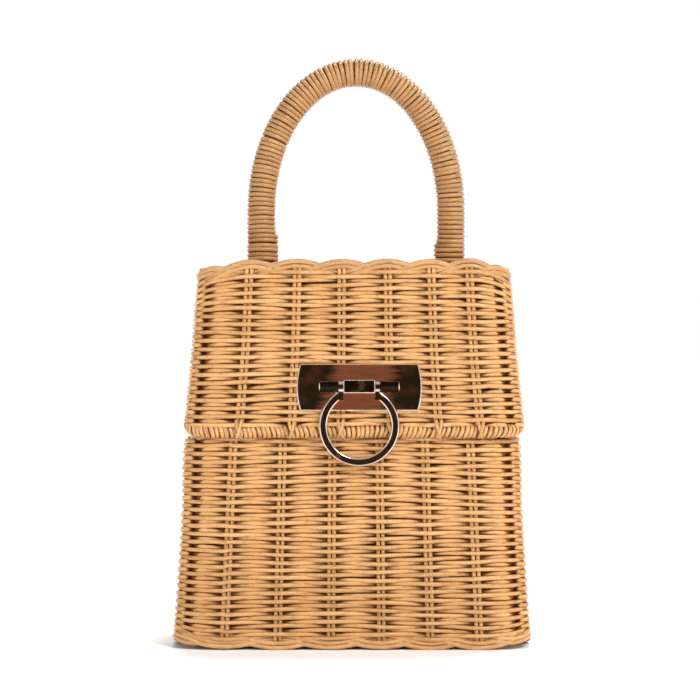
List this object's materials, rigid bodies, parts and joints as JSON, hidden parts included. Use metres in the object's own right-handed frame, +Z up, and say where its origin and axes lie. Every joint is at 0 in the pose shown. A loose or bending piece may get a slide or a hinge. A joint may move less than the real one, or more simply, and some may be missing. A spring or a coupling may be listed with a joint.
{
  "type": "basket box bag",
  "caption": "Woven rattan box bag with a hinged cap lid, an arched wrapped handle and a ring clasp on a metal plate.",
  "frame": {"origin": "middle of the flat underside of the base", "axes": "+Z up, +X to the right of someone facing the clasp, -Y towards that person"},
  "size_m": [0.18, 0.1034, 0.2993],
  "materials": {
    "rattan": "semi-gloss cane, honey tan",
    "rattan_dark": "semi-gloss cane, browner honey tan",
    "cane_core": "plain peeled cane",
    "dark_metal": "polished dark plate with bright edges",
    "bright_metal": "polished pale gold",
    "plain_steel": "dull nickel plate",
    "magnet": "bare sintered magnet"
  },
  "bodies": {
    "basket": {"basket_wall": "rattan", "base_border": "rattan", "base_panel": "rattan", "rim_hoop": "cane_core", "rim_binding": "rattan", "strike_disc": "plain_steel", "strike_rivet": "plain_steel", "strike_washer": "plain_steel"},
    "lid": {"lid_skirt": "rattan", "lid_border": "rattan", "lid_panel": "rattan", "lid_edge_binding": "rattan", "hinge_loop_left": "rattan", "hinge_loop_middle": "rattan", "hinge_loop_right": "rattan", "handle_wrap": "rattan_dark", "lid_edge_hoop": "cane_core", "handle_core": "cane_core", "handle_pegs": "cane_core", "clasp_plate": "dark_metal", "clasp_block": "bright_metal", "clasp_pin": "bright_metal", "pin_ferrules": "bright_metal", "clasp_backplate": "plain_steel", "plate_studs": "plain_steel", "magnet_cup": "plain_steel", "catch_magnet": "magnet"},
    "ring": {"clasp_ring": "bright_metal"}
  },
  "joints": [
    {"name": "lid_hinge", "type": "hinge", "parent": "basket", "child": "lid", "pos_m": [0, 0.037, 0.1843], "axis": [-1, 0, 0], "range_deg": [0, 102]},
    {"name": "ring_swing", "type": "hinge", "parent": "lid", "child": "ring", "pos_m": [0.0035, -0.05041, 0.13089], "axis": [-1, 0, 0], "range_deg": [0, 165]}
  ]
}
